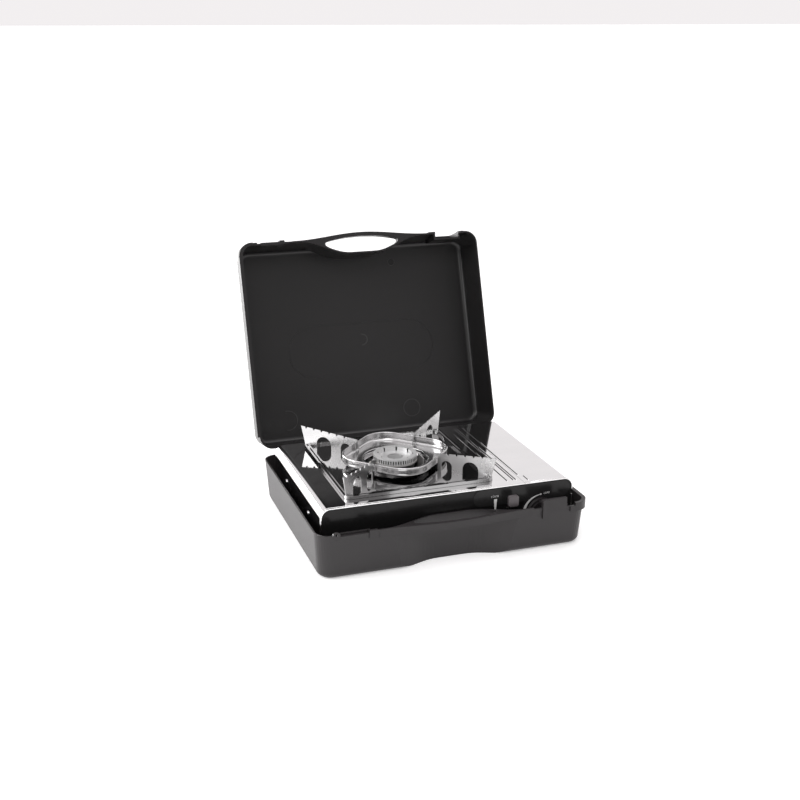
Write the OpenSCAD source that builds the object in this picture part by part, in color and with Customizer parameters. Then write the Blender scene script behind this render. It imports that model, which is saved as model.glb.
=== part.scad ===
// Butane cassette stove in a two-shell carry case.
// Origin: centre of the case's underside. +X to the stove's right, +Y to the hinge, +Z up.
// The case lid is drawn open and the stove stands in the case base.

/* [Carry case] */
// Width of the case over both side walls
case_w = 380; // [370:1:440]
// Depth of the case from the front wall to the hinge wall
case_d = 309; // [296:1:380]
// Height of one case half
case_half_h = 63; // [62:1:80]
// Thickness of the case wall
case_wall = 2.4; // [1.8:0.1:2.6]
// How far each wall leans in from the rim to the floor
case_draft = 4; // [1:0.5:5]
// Radius of the upright case corners
case_corner_r = 19; // [12:1:30]
// Radius between the case walls and the floor
case_edge_r = 9; // [4:1:14]
// Angle to which the case lid opens
case_open_angle = 108.6; // [90:0.1:115]
// Distance of the hinge axis behind the hinge wall
case_hinge_offset = 6.3; // [6:0.1:9]
// Radius of a case hinge pin
case_pin_r = 1.5; // [1:0.1:2]
// Distance of each case hinge from the middle
case_hinge_x = 110; // [60:5:140]
// Width of one case hinge knuckle
case_knuckle_w = 20; // [10:1:30]

/* [Carry handle] */
// Width of the finger scoop in the front wall
grip_w = 194; // [160:2:200]
// Width of the scoop's full-depth part
grip_flat_w = 40; // [20:2:60]
// Depth of the finger scoop
grip_depth = 22; // [14:1:22]
// Width of the hand hole
hand_hole_w = 117; // [90:1:124]
// Width of the bowed handle bar
handle_w = 214; // [200:2:220]
// How far the handle bar bows out of the front wall
handle_bow = 8; // [4:1:10]
// Thickness of the handle bar
handle_t = 6; // [5:0.5:8]
// Height of the handle bar on one case half
handle_h = 11; // [8:1:24]
// Middle of the snap tongue from the case's side
tongue_in = 50; // [48:0.5:52]
// Width of the snap tongue
tongue_w = 36; // [30:1:37]
// Height of the base's snap tongue above the rim
tongue_h = 9; // [4:1:10]
// Height of the lid's locating tongue above the rim
lid_tongue_h = 2; // [1:0.5:4]
// Depth of the lid's pocket for the base's tongue
pocket_depth = 9; // [6:1:10]

/* [Stove body] */
// Room between the stove and each side of the case
side_gap = 12; // [11:0.5:20]
// Height from the bottom pan to the top plate
stove_h = 82; // [80:0.5:83]
// Radius of the rounded shoulders
shoulder_r = 13; // [8:1:16]
// Thickness of the steel sheet
sheet = 0.8; // [0.6:0.1:1.2]
// Thickness of the plastic front panel
panel_t = 2.5; // [1.5:0.1:3]
// Height of the rubber feet
foot_h = 4.4; // [3:0.1:6]
// Radius of a rubber foot
foot_r = 9; // [6:0.5:12]
// Width of the cartridge compartment's lid
bay_w = 70.5; // [69.5:0.5:74]
// Radius of the side and bottom screws
screw_r = 2; // [1.5:0.1:2.5]
// Number of vent holes in the left side
side_vents = 6; // [3:1:8]

/* [Burner] */
// Burner axis to the right of the middle of the open plate
burner_off = 1.5; // [-4:0.5:4]
// Burner axis behind the stove's front
burner_back = 130; // [124:1:136]
// Radius of the burner head
burner_r = 31; // [26:0.5:34]
// Number of flame ports round the burner head
port_count = 54; // [24:2:56]
// Height of the burner head's seat above the top plate
burner_rise = 5; // [4:0.5:8]
// Radius of the hole in the top plate round the burner
well_r = 43; // [38:1:48]
// Radius of the mixing tube
mixing_r = 9; // [7:0.5:10]
// Radius of the gas pipe
gas_pipe_r = 2.5; // [2:0.1:3]

/* [Pan support] */
// Width of the square support frame
frame_w = 210; // [206:1:216]
// Depth of the support frame
frame_d = 216; // [206:1:222]
// Width of the frame's pressed rail
frame_rail = 7; // [5:0.5:10]
// Height of the frame's pressed rail
frame_h = 4.5; // [3:0.5:6]
// Height of the fin tips above the top plate
fin_h = 32; // [28:0.5:32]
// How much lower the fins are at their inner ends
fin_fall = 7.5; // [2:0.5:8]
// Distance of the fin tips from the burner axis
fin_reach = 152; // [144:1:154]
// Thickness of a fin
fin_t = 1.2; // [0.8:0.1:2]
// Distance between the notches along a fin
notch_pitch = 12.6; // [10:0.2:16]
// Distance of the windshield's flat sides from its axis
bowl_flat = 64; // [61:0.5:67]
// Radius of the windshield's corners
bowl_corner_r = 36; // [26:1:44]
// Height of the windshield's rim above the top plate
bowl_rim_h = 20; // [19:0.5:25]
// Height of the windshield's wall
bowl_wall_h = 13; // [9:0.5:15]
// Radius of the opening in the windshield's floor
bowl_hole_r = 46; // [43:0.5:50]

/* [Gas cartridge bay] */
// Radius of the cartridge that the bay takes
cartridge_r = 33.5; // [32:0.1:34]
// Length of the cartridge body
cartridge_l = 184; // [175:1:190]
// Room behind the cartridge
rear_room = 15; // [13:0.5:18]
// Radius of the compartment lid's hinge pin
bay_pin_r = 1.2; // [1:0.1:1.5]

/* [Controls] */
// Knob axis to the right of the compartment lid's left edge
knob_in = 22.5; // [20:0.5:26]
// Knob axis above the table
knob_z = 46.5; // [44:0.5:48]
// Radius of the control knob
knob_r = 19.5; // [16:0.5:20]
// Length of the control knob
knob_l = 12; // [9:0.5:13]
// Radius of the valve stem
stem_r = 3; // [2:0.1:4]
// Lock lever to the left of the compartment lid's left edge
lever_out = 22.5; // [20:0.5:24]
// Width of the lever cap
lever_cap_w = 14; // [10:0.5:16]
// Travel of the lever cap
lever_angle = 25; // [15:1:28]
// Length of the control bezel
bezel_l = 142; // [124:1:150]
// Height of the control bezel
bezel_h = 24; // [18:1:26]

/* [Hidden] */
$fn = 48;
hull_fn = 32;            // circles inside a hull
eps = 0.01;
run = 0.05;              // radial clearance of a pin that turns in its bore
gap = 0.3;               // clearance between pieces that must not touch

// --- case ---
rim_gap = 0.15;                             // from each rim to the parting plane
case_front = -case_d / 2;
hinge_y = case_d / 2 + case_hinge_offset;
hinge_z = case_half_h;
knuckle_r = case_hinge_offset - 1.3;
knuckle_gap = 0.25;
rim_h = case_half_h - rim_gap;
tongue_x = case_w / 2 - tongue_in;
pocket_side = 1.2;                          // beside the tongue, each side
lid_pocket_h = 40;
pocket_x0 = tongue_x - tongue_w / 2 - pocket_side;
pocket_w = tongue_w + 2 * pocket_side;
tongue_t = 4.5;
base_pocket_h = lid_tongue_h + 0.5;
base_pocket_depth = tongue_t + 1;
rib_w = 8;
rib_t = 2;
rib_h = 26;
loop_r = 5.5;
loop_hole_r = 1.6;
loop_t = 3;
loop_rise = 3.7;
loop_room = 1;                              // between the loop and the tongue
loop_x = tongue_x + tongue_w / 2 + loop_room + loop_r;
block_w = 11;
block_h = 10;
block_t = 1.2;
block_rise = 1.2;
handle_chamfer = 3;
rim_lip_t = 3;
rim_lip_h = 12;
mark_groove = 0.5;
mark_line = 1;
mark_w = 240;
mark_d = 82;
mark_y = 14;
// --- stove ---
stove_clear = 0.9;                          // between the scoop wall and the stove
hw = case_w / 2 - side_gap;
front_y = case_front + grip_depth + case_wall + stove_clear;
cart_back = 51;                             // from the stove's front to the cartridge
cart_y0 = front_y + cart_back;
cart_y1 = cart_y0 + cartridge_l;
back_y = cart_y1 + rear_room;
mid_y = (front_y + back_y) / 2;
bay_x = hw - bay_w;                         // left edge of the compartment's lid
burner_x = (bay_x - hw) / 2 + burner_off;
burner_y = front_y + burner_back;
knob_x = bay_x + knob_in;
lever_x = bay_x - lever_out;
pan_z = case_wall + foot_h;
floor_z = pan_z + sheet;
top_z = pan_z + stove_h;
under_z = top_z - sheet;
panel_set = 1.2;                            // how far the panel sits behind the shell's edge
panel_y = front_y + panel_set;
inner_y0 = panel_y + panel_t + gap;
inner_y1 = back_y - sheet - gap;
lip_h = 6;
bead_r = 1.6;
bead_sink = 0.9;
plate_beads = [bay_x - 6.5, bay_x - 10.3];
short_bead_x = bay_x - 19.5;
lid_bead_x = bay_x + 3.3;
lid_mark_x = bay_x + 9.2;
bead_end = 16;
short_bead_end = 36;
side_screw_z = pan_z + 51.2;
side_screw_in = 66;                         // from the stove's front and back
side_screw_y = [front_y + side_screw_in, back_y - side_screw_in];
vent_pitch = 14.4;
vent_z = pan_z + 47.5;
vent_r = 2.2;
screw_head_r = 1.7 * screw_r;
screw_head_h = 1.2;
side_screw_l = 6;
bottom_screw_l = 5;
corner_x = hw - 28;
corner_y = 26;                              // feet and bottom screws from the front and back edges
screw_in = 14;                              // bottom screws towards the middle from there
foot_out = 4;                               // feet away from the middle from there
slot_w = 8;
slot_pitch = 22;
flange_h = 10;
// --- compartment ---
wall_x = bay_x - 9;                         // partition
wall_foot = 8;
bay_mid = (wall_x + sheet + hw - sheet) / 2;
cart_z = floor_z + 6 + cartridge_r;
bay_pin_x = hw - 3.5;
bay_pin_z = case_half_h + 6;
ear_r = 2.6;
ear_w = 5;
ear_in = 30;
ear_y = [front_y + ear_in, mid_y, back_y - ear_in];
skirt_z = bay_pin_z - 3;
side_z = bay_pin_z - 4.4;
swing_rise = 3.4;                           // skirt cut over the end panels, above the pin
magnet_y = mid_y + 34;
magnet_l = 14;
cradle_drop = 20;
cradle_y0 = cart_y0 + 8;
cradle_y1 = cart_y1 - 12;
heat_w = 24;
heat_t = 1;
heat_lift = 1;
heat_x = burner_x + 38;
heat_top = 6;                               // above the top plate
// --- burner ---
cup_z = floor_z + 38.7;
cup_r = 22;
cup_t = 2;
cup_neck = 22;
seat_z = top_z + burner_rise;
seat_r = burner_r - 3;
tube_z = cup_z + 10;
jet_y = front_y + 34;
tube_y0 = jet_y + 14;
tube_y1 = burner_y - cup_r + cup_t;
head_h = 2.5;
port_h = 5.4;
port_w = 1.6;
port_deep = 3;
cap_h = 7.5;
cap_r = burner_r - 0.4;
cap_floor = 2.2;
cap_well_r = 0.76 * cap_r;
cap_hole_r = 11;                            // gas passage in the head, and the hollow over it in the cap
cap_hollow = 1.3;
cap_slots = 8;
cap_slot_w = 2.4;
cap_slot_deep = 2.2;
arm_x = 26;                                 // burner bracket legs from the burner axis
bracket_w = 24;
electrode_a = 187;                          // its place round the burner
electrode_out = burner_r + 6;
electrode_at = [burner_x + electrode_out * cos(electrode_a), burner_y + electrode_out * sin(electrode_a)];
electrode_r = 1;
ceramic_r = 3;
ceramic_z = cup_z + 10;
tip_z = top_z + 10.5;
// --- controls ---
bezel_t = 1;
knob_gap = 0.5;
knob_front = panel_y - bezel_t - knob_gap - knob_l;
cam_y = panel_y + panel_t + 2;
cam_t = 7;
cam_r = 9;
knob_angle = 125;
cam_lift = 3.5;
reg_y0 = front_y + 19.7;
reg_y1 = front_y + 39.7;
reg_x0 = bay_mid - 23;
reg_w = 40;
reg_z0 = knob_z - 19.5;
reg_h = 40;
reg_foot_t = 4;
reg_foot_w = 16;
cover_r = 17;
cover_t = 4;
receiver_r = 14;
receiver_l = 8;
seal_r = 7;
nozzle_r = 4;
pipe_y = jet_y;
pipe_start = 3.2;                           // clear of the jet in the holder
pipe_wall = 0.7;
nut_l = 7;
nut_r = 6;
piezo_y = inner_y0 + sheet;                 // behind the bottom pan's flange
piezo_w = 16;
piezo_d = 11.5;
piezo_h = 21;
plunger_r = 3;
wire_r = 1;
bezel_z = top_z - 14;
bezel_end = hw - 4;
bezel_x = bezel_end - bezel_l;
bezel_disc_r = knob_r + 8;
// --- lock lever ---
pivot_y = front_y + 21.7;
pivot_z = pan_z + 57;
lever_l = 34;
lever_t = 6;
lever_bar = 5;
tail_l = 20;
hub_r = 6;
hub_w = 7.4;
pivot_r = 2;
tail_pin_r = 2;
cap_t = 5;
cap_h2 = 15;
cheek_t = 1.2;
cheek_x = 8;
cheek_d = 14;
lever_half = lever_angle / 2;
pusher_travel = 2 * tail_l * sin(lever_half);
tail_y = pivot_y + tail_l * sin(lever_half);
tail_z = pivot_z + tail_l * cos(lever_half);
rod_x = wall_x - 6;
rod_w = 4;
rod_h = 5;
rod_z = tail_z - 6;
pusher_t = 3;
pusher_y = cart_y1 + 0.5;
pusher_w = 50;
pusher_z0 = cart_z - 18;
guide_l = 16;
guide_y = [front_y + 70, back_y - 72];
// --- pan support ---
sup_z = top_z + gap;
sup_t = 1;
fin_z0 = sup_z + sup_t;
bowl_t = 0.8;
ledge_z = top_z + bowl_rim_h - bowl_wall_h;
fin_in = bowl_flat - 7;
fin_foot = fin_reach - 6;
fin_slot = 1.6;
// where the fins cross the frame's rail, and its top
rail_in = (min(frame_w, frame_d) / 2 - frame_rail) * sqrt(2) - 3;
rail_z = top_z + frame_h;
window_top = 8;                             // straight sides of the fins' windows
windows = [[bowl_flat + 7, 16], [bowl_flat + 38.5, 24]];
notch_w = 5.2;
notch_deep = 2.5;

// ---------- helpers ----------
function ease(t) = t <= 0 ? 0 : t >= 1 ? 1 : t * t * (3 - 2 * t);
function scoop_y(x) =
    case_front + grip_depth * (1 - ease((abs(x) - grip_flat_w / 2) / ((grip_w - grip_flat_w) / 2)));
function bow_y(x, less = 0) = case_front - (handle_bow - less) * (1 + cos(180 * 2 * x / handle_w)) / 2;
// Sine or cosine drawn out to its square, for an oblong with round corners
function squared(c) = sign(c) * pow(abs(c), 0.55);
function steps(w, n) = [for (i = [0:n]) -w / 2 + w * i / n];

module rod(p, q, r) {
    v = q - p;
    translate(p) rotate([0, acos(v[2] / norm(v)), atan2(v[1], v[0])]) cylinder(h = norm(v), r = r);
}
module along_x(x, y, z, l, r) translate([x, y, z]) rotate([0, 90, 0]) cylinder(h = l, r = r);
module along_y(x, y, z, l, r) translate([x, y, z]) rotate([-90, 0, 0]) cylinder(h = l, r = r);
// A shape drawn in X and Z, as seen from the front, made solid from y0 to y1
module prism_y(y0, y1) translate([0, y1, 0]) rotate([90, 0, 0]) linear_extrude(y1 - y0) children();
module rounded_rect(w, d, r) {
    square([w - 2 * r, d], center = true);
    square([w, d - 2 * r], center = true);
    for (x = [-1, 1], y = [-1, 1]) translate([x * (w / 2 - r), y * (d / 2 - r)]) circle(r);
}
module box(x0, x1, y0, y1, z0, z1) translate([x0, y0, z0]) cube([x1 - x0, y1 - y0, z1 - z0]);

// ---------- case ----------
// Levels of a case half: each is an inset from the rim outline and a height
module case_form(inset, z0, z1, edge) {
    hull() for (a = [0:15:90], x = [-1, 1], y = [-1, 1]) {
        z = a == 90 ? z1 : z0 + edge * (1 - cos(a));
        lean = inset + case_draft * (case_half_h - z) / case_half_h + (a == 90 ? 0 : edge * (1 - sin(a)));
        r = max(case_corner_r - inset, edge + 1) - (a == 90 ? 0 : edge * (1 - sin(a)));
        translate([x * (case_w / 2 - lean - r), y * (case_d / 2 - lean - r), z - (a == 90 ? eps : 0)])
            cylinder(r = r, h = eps, $fn = hull_fn);
    }
}
module in_front_of_scoop(wall, z0, z1)
    translate([0, 0, z0]) linear_extrude(z1 - z0)
        polygon(concat([for (x = steps(grip_w, 32)) [x, scoop_y(x) + wall]],
            [[grip_w / 2, case_front - grip_depth], [-grip_w / 2, case_front - grip_depth]]));
module handle_plate(less)
    polygon(concat([for (x = steps(handle_w, 32)) [x, bow_y(x, less)]],
        [for (x = steps(-handle_w, 32)) [x, scoop_y(x) + case_wall / 2]]));
module hand_hole() polygon([for (a = [0:10:350])
    let (x = hand_hole_w / 2 * squared(cos(a)), front = bow_y(x) + handle_t, back = scoop_y(x) + case_wall / 2 + gap)
        [x, (back + front) / 2 + squared(sin(a)) * (back - front) / 2]]);

module case_half(tongue, pocket_h, pocket_d) {
    difference() {
        union() {
            difference() {
                case_form(0, 0, rim_h, case_edge_r);
                difference() {
                    case_form(case_wall, case_wall, case_half_h + 1, case_edge_r - case_wall);
                    in_front_of_scoop(case_wall, 0, case_half_h + 2);
                }
                in_front_of_scoop(0, -1, case_half_h + 2);
            }
            // handle bar and the land beside the hand hole
            difference() {
                union() {
                    translate([0, 0, rim_h - handle_h + handle_chamfer])
                        linear_extrude(handle_h - handle_chamfer) handle_plate(0);
                    translate([0, 0, rim_h - handle_h])
                        linear_extrude(handle_chamfer + eps) handle_plate(handle_chamfer / 2);
                }
                translate([0, 0, rim_h - handle_h - 1]) linear_extrude(handle_h + 2) hand_hole();
            }
            // pocket for the other half's tongue
            box(-pocket_x0 - pocket_w - case_wall, -pocket_x0 + case_wall, case_front + 1,
                case_front + pocket_d + case_wall, rim_h - pocket_h - case_wall, rim_h);
            // tongue and its rib
            box(tongue_x - tongue_w / 2, tongue_x + tongue_w / 2, case_front, case_front + tongue_t,
                rim_h - tongue_h, rim_h + tongue);
            box(tongue_x - tongue_w / 2, tongue_x - tongue_w / 2 + rib_w, case_front - rib_t,
                case_front + tongue_t, rim_h - rib_h + tongue, rim_h + tongue);
            // lanyard loop and stop block on the other side
            along_y(-loop_x, case_front, rim_h + loop_rise - loop_r, loop_t, loop_r);
            box(-pocket_x0 + eps, -pocket_x0 + block_w, case_front - block_t, case_front + case_wall,
                rim_h - block_h, rim_h + block_rise);
            // outer lip along the side wall's rim
            intersection() {
                translate([0, 0, rim_h - rim_lip_h]) linear_extrude(rim_lip_h) difference() {
                    rounded_rect(case_w + 2 * rim_lip_t, case_d + rim_lip_t, case_corner_r + rim_lip_t / 2);
                    rounded_rect(case_w - 2 * case_wall, case_d - 2 * case_wall, case_corner_r - case_wall);
                }
                box(tongue_x + tongue_w / 2 + 5, case_w, case_front - rim_lip_t, case_d / 2 - case_corner_r,
                    0, case_half_h);
            }
            // hinge knuckles
            for (x = [-case_hinge_x - case_knuckle_w, case_hinge_x - case_knuckle_w]) {
                along_x(x + knuckle_gap, hinge_y, hinge_z, case_knuckle_w - 2 * knuckle_gap, knuckle_r);
                box(x + knuckle_gap, x + case_knuckle_w - knuckle_gap, case_d / 2 - case_wall, hinge_y,
                    hinge_z - knuckle_r - 3, rim_h);
            }
        }
        // pocket for the tongue
        box(-pocket_x0 - pocket_w, -pocket_x0, case_front - 2 * rib_t, case_front + pocket_d,
            rim_h - pocket_h, case_half_h + block_rise + 1);
        // room for the other half's loop and block
        box(loop_x - loop_r - gap, loop_x + loop_r + gap, case_front - 2 * rim_lip_t, case_front + loop_t + gap,
            rim_h - loop_rise - 2 * gap, case_half_h + 1);
        box(pocket_x0 - block_w - gap, pocket_x0 + gap, case_front - 2 * rib_t, case_front + case_wall + gap,
            rim_h - block_rise - 2 * gap, case_half_h + 1);
        along_y(-loop_x, case_front - 1, rim_h + loop_rise - loop_r + 2, loop_t + 2, loop_hole_r);
        for (x = [-1, 1])
            along_x(x * case_hinge_x - case_knuckle_w - 1, hinge_y, hinge_z, 2 * case_knuckle_w + 2,
                case_pin_r + run);
        // moulded outline on the floor's inside
        translate([0, mark_y, case_wall - mark_groove]) linear_extrude(1) difference() {
            rounded_rect(mark_w, mark_d, mark_d / 2 - eps);
            rounded_rect(mark_w - 2 * mark_line, mark_d - 2 * mark_line, mark_d / 2 - mark_line - eps);
        }
    }
}
module case_base() color("#3a3637") case_half(tongue_h, base_pocket_h, base_pocket_depth);
module case_lid() color("#2c2a2b")
    translate([0, hinge_y, hinge_z]) rotate([-case_open_angle, 0, 0]) translate([0, -hinge_y, -hinge_z])
        translate([0, 0, 2 * case_half_h]) rotate([0, 180, 0]) case_half(lid_tongue_h, lid_pocket_h, pocket_depth);
module case_hinge_pins() color("silver") for (x = [-1, 1])
    along_x(x * case_hinge_x - case_knuckle_w + 1, hinge_y, hinge_z, 2 * case_knuckle_w - 2, case_pin_r);

// ---------- stove body ----------
module stove_profile(inset) {
    r = max(shoulder_r - inset, 1);
    w = hw - inset;
    translate([-w, pan_z]) square([2 * w, stove_h - inset - r]);
    translate([-w + r, pan_z]) square([2 * (w - r), stove_h - inset]);
    for (x = [-1, 1]) translate([x * (w - r), top_z - inset - r]) circle(r);
}
module sheet_profile() difference() {
    stove_profile(0);
    translate([0, -eps]) stove_profile(sheet);
    translate([-hw + sheet, pan_z - 1]) square([2 * (hw - sheet), 2]);
}
module bead(x, y0, y1) intersection() {
    union() {
        along_y(x, y0, top_z - bead_sink, y1 - y0, bead_r);
        for (y = [y0, y1]) translate([x, y, top_z - bead_sink]) sphere(bead_r + eps);
    }
    box(x - 3, x + 3, y0 - 3, y1 + 3, top_z - sheet / 2, top_z + 3);
}
module top_shell() color("#d8d8da") {
    difference() {
        union() {
            prism_y(front_y, back_y) intersection() {
                sheet_profile();
                translate([-hw - 1, pan_z - 1]) square([hw + 1 + bay_x - gap / 2, stove_h + 2]);
            }
            box(bay_x - gap / 2 - sheet, bay_x - gap / 2, inner_y0, inner_y1, top_z - lip_h, top_z - sheet / 2);
            for (x = plate_beads) bead(x, front_y + bead_end, back_y - bead_end);
            bead(short_bead_x, front_y + bead_end, back_y - short_bead_end);
        }
        translate([burner_x, burner_y, top_z - 5]) cylinder(h = 10, r = well_r);
        for (y = side_screw_y) along_x(-hw - 1, y, side_screw_z, 3, screw_r + run);
        for (i = [0:side_vents - 1])
            along_x(-hw - 1, mid_y + (i - (side_vents - 1) / 2) * vent_pitch, vent_z, 3, vent_r);
    }
}
module right_side_panel() color("#b9b9bb") difference() {
    union() {
        box(hw - sheet, hw, front_y, back_y, pan_z, side_z);
        for (y = ear_y) {
            along_y(bay_pin_x, y, bay_pin_z, ear_w, ear_r);
            box(bay_pin_x - ear_r, hw, y, y + ear_w, side_z - 5, bay_pin_z - ear_r / 2);
        }
    }
    for (y = ear_y) along_y(bay_pin_x, y - 1, bay_pin_z, ear_w + 2, bay_pin_r + run);
}
module front_panel() color("#161415") difference() {
    prism_y(panel_y, panel_y + panel_t) stove_profile(sheet + gap);
    along_y(knob_x, panel_y - 1, knob_z, panel_t + 2, stem_r + gap);
    lever_slot();
}
module lever_slot()
    box(lever_x - lever_t / 2 - gap, lever_x + lever_t / 2 + gap, panel_y - 3, panel_y + panel_t + 1,
        pivot_z - 10, pivot_z + 9);
module back_panel() color("#b9b9bb") difference() {
    prism_y(back_y - sheet, back_y) stove_profile(sheet + gap);
    for (i = [-4:4]) box(burner_x + i * slot_pitch - slot_w / 2, burner_x + i * slot_pitch + slot_w / 2,
        back_y - 2 * sheet, back_y + 1, vent_z - vent_r, vent_z + vent_r);
}
module bottom_pan() color("#b0b0b2") difference() {
    union() {
        box(-hw + sheet + gap, hw - sheet - gap, inner_y0, inner_y1, pan_z, floor_z);
        for (y = [inner_y0, inner_y1 - sheet])
            box(-hw + sheet + gap, hw - sheet - gap, y, y + sheet, pan_z, pan_z + flange_h);
        for (x = [-hw + sheet + gap, hw - 2 * sheet - gap])
            box(x, x + sheet, inner_y0, inner_y1, pan_z, pan_z + flange_h);
    }
    at_corners(screw_in) translate([0, 0, pan_z - 1]) cylinder(h = sheet + 2, r = screw_r + run);
    for (i = [-3:3]) box(burner_x + i * slot_pitch - slot_w / 2, burner_x + i * slot_pitch + slot_w / 2,
        mid_y + 44, mid_y + 94, pan_z - 1, floor_z + 1);
}
module at_corners(inset)
    for (x = [-1, 1], y = [front_y + corner_y + inset, back_y - corner_y - inset])
        translate([x * (corner_x - inset), y, 0]) children();
module rubber_feet() color("#222222") at_corners(-foot_out)
    translate([0, 0, case_wall]) cylinder(h = foot_h, r = foot_r);
module bottom_screws() color("silver") at_corners(screw_in) {
    translate([0, 0, pan_z - screw_head_h]) cylinder(h = screw_head_h, r = screw_head_r);
    translate([0, 0, pan_z - eps]) cylinder(h = bottom_screw_l, r = screw_r);
}
module side_screws() color("silver") for (y = side_screw_y) {
    along_x(-hw - screw_head_h, y, side_screw_z, screw_head_h, screw_head_r);
    along_x(-hw - eps, y, side_screw_z, side_screw_l, screw_r);
}
module control_bezel() color("#201e1f") difference() {
    prism_y(panel_y - bezel_t, panel_y) difference() {
        union() {
            translate([(bezel_x + bezel_end) / 2, bezel_z])
                rounded_rect(bezel_end - bezel_x, bezel_h, bezel_h / 2 - eps);
            translate([knob_x, knob_z]) circle(bezel_disc_r);
        }
        translate([knob_x, knob_z]) circle(stem_r + gap);
    }
    lever_slot();
}

// ---------- cartridge compartment ----------
module partition_wall() color("#c4c4c6") difference() {
    union() {
        box(wall_x, wall_x + sheet, inner_y0 + 1, inner_y1 - 1, floor_z, under_z - 0.5);
        box(wall_x + eps, wall_x + wall_foot, inner_y0 + 1, inner_y1 - 1, floor_z, floor_z + sheet);
    }
    along_x(wall_x - 1, pipe_y, tube_z, 4, gas_pipe_r + gap);
    box(wall_x - 1, wall_x + wall_foot + 1, burner_y - heat_w / 2 - gap, burner_y + heat_w / 2 + gap, floor_z - 1,
        floor_z + heat_lift + heat_t + gap);
    box(wall_x - 1, wall_x + wall_foot + 1, wire_y - 3, wire_y + 3, floor_z - 1, wire_z + 3);
    box(wall_x - 1, wall_x + 2, pusher_y - pusher_travel - 2, pusher_y + pusher_t + 2, rod_z - 1,
        rod_z + rod_h + 1);
}
module cartridge_cradle() color("#b4b4b6") difference() {
    prism_y(cradle_y0, cradle_y1) translate([bay_mid, cart_z]) {
        difference() {
            circle(cartridge_r + gap + sheet);
            circle(cartridge_r + gap);
            translate([-50, -cradle_drop]) square([100, 90]);
        }
        for (x = [-1, 1]) translate([x * cradle_x - sheet / 2, floor_z - cart_z])
            square([sheet, cart_z - floor_z - cradle_drop]);
    }
    box(0, hw, burner_y - heat_w / 2 - gap, burner_y + heat_w / 2 + gap, floor_z - 1,
        floor_z + heat_lift + heat_t + gap);
}
cradle_x = sqrt(pow(cartridge_r + gap + sheet / 2, 2) - pow(cradle_drop, 2));
module heat_plate() color("#c8c9cb") {
    box(heat_x, bay_mid + 22, burner_y - heat_w / 2, burner_y + heat_w / 2, floor_z + heat_lift,
        floor_z + heat_lift + heat_t);
    box(heat_x, heat_x + heat_t, burner_y - heat_w / 2, burner_y + heat_w / 2, floor_z, top_z + heat_top);
}
module cartridge_lid() color("#dcdcde") difference() {
    union() {
        prism_y(front_y, back_y) intersection() {
            sheet_profile();
            translate([bay_x + gap / 2, skirt_z]) square([hw, stove_h]);
        }
        box(bay_x + gap / 2, bay_x + gap / 2 + sheet, inner_y0, inner_y1, top_z - 5, top_z - sheet / 2);
        for (y = ear_y) {
            along_y(bay_pin_x, y + ear_w + gap, bay_pin_z, ear_w, ear_r);
            box(bay_pin_x, hw - sheet / 2, y + ear_w + gap, y + 2 * ear_w + gap, bay_pin_z - 1, bay_pin_z + 2);
        }
        bead(lid_bead_x, front_y + 2 * bead_end, back_y - bead_end);
        bead(lid_mark_x, front_y + 11, front_y + 26);
    }
    // the skirt turns in past the ends of the front and back panels
    for (y = [[front_y - 1, panel_y + panel_t + gap], [back_y - sheet - gap, back_y + 1]])
        box(bay_pin_x - 2 * bay_w / 3, hw + 1, y[0], y[1], skirt_z - 1, bay_pin_z + swing_rise);
    for (y = ear_y) {
        along_y(bay_pin_x, y + ear_w - 1, bay_pin_z, ear_w + 2, bay_pin_r + run);
        box(hw - 3 * sheet, hw + 1, y - gap, y + ear_w + gap / 2, skirt_z - 1, bay_pin_z + ear_r + 2);
    }
}
module cartridge_lid_pin() color("silver") for (y = ear_y)
    along_y(bay_pin_x, y + 0.5, bay_pin_z, 2 * ear_w - 0.5, bay_pin_r);
module lid_magnet() color("#3a3a3c")
    box(wall_x + sheet, bay_x - gap / 2 - sheet - gap, magnet_y, magnet_y + magnet_l, top_z - magnet_l, top_z - 2);

// ---------- burner ----------
module burner_cup() color("#a9aaac") difference() {
    translate([burner_x, burner_y, 0]) rotate_extrude() polygon([
        [0, cup_z], [cup_r, cup_z], [cup_r, cup_z + cup_neck], [seat_r, seat_z - 4], [seat_r, seat_z],
        [seat_r - cup_t, seat_z], [seat_r - cup_t, seat_z - 3], [cup_r - cup_t, cup_z + cup_neck + 1],
        [cup_r - cup_t, cup_z + cup_t], [0, cup_z + cup_t]]);
    along_y(burner_x, burner_y - cup_r - 2, tube_z, cup_r, mixing_r + run);
}
module burner_bracket() color("#b9b9bb") {
    box(burner_x - arm_x, burner_x + arm_x, burner_y - bracket_w / 2, burner_y + bracket_w / 2,
        cup_z - sheet, cup_z);
    for (x = [-arm_x, arm_x - sheet])
        box(burner_x + x, burner_x + x + sheet, burner_y - bracket_w / 2, burner_y + bracket_w / 2,
            floor_z, cup_z - sheet + eps);
}
module burner_head() color("#c9cacc") translate([burner_x, burner_y, seat_z]) difference() {
    cylinder(h = head_h, r = burner_r);
    translate([0, 0, -1]) cylinder(h = head_h + 2, r = cap_hole_r);
}
module burner_cap() color("#d2d3d5") translate([burner_x, burner_y, seat_z + head_h]) difference() {
    cylinder(h = cap_h, r = cap_r);
    // the well, its hollow and the slots in its wall
    translate([0, 0, cap_floor]) cylinder(h = cap_h, r = cap_well_r);
    translate([0, 0, cap_floor - cap_hollow]) cylinder(h = cap_h, r = cap_hole_r);
    for (i = [0:cap_slots - 1]) rotate((i + 0.5) * 360 / cap_slots)
        translate([cap_well_r - 1, -cap_slot_w / 2, cap_floor]) cube([cap_slot_deep + 1, cap_slot_w, cap_h]);
    // the flame ports, open at the foot of the rim
    for (i = [0:port_count - 1]) rotate(i * 360 / port_count)
        translate([cap_r - port_deep, -port_w / 2, -1]) cube([port_deep + 1, port_w, port_h + 1]);
}
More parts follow.
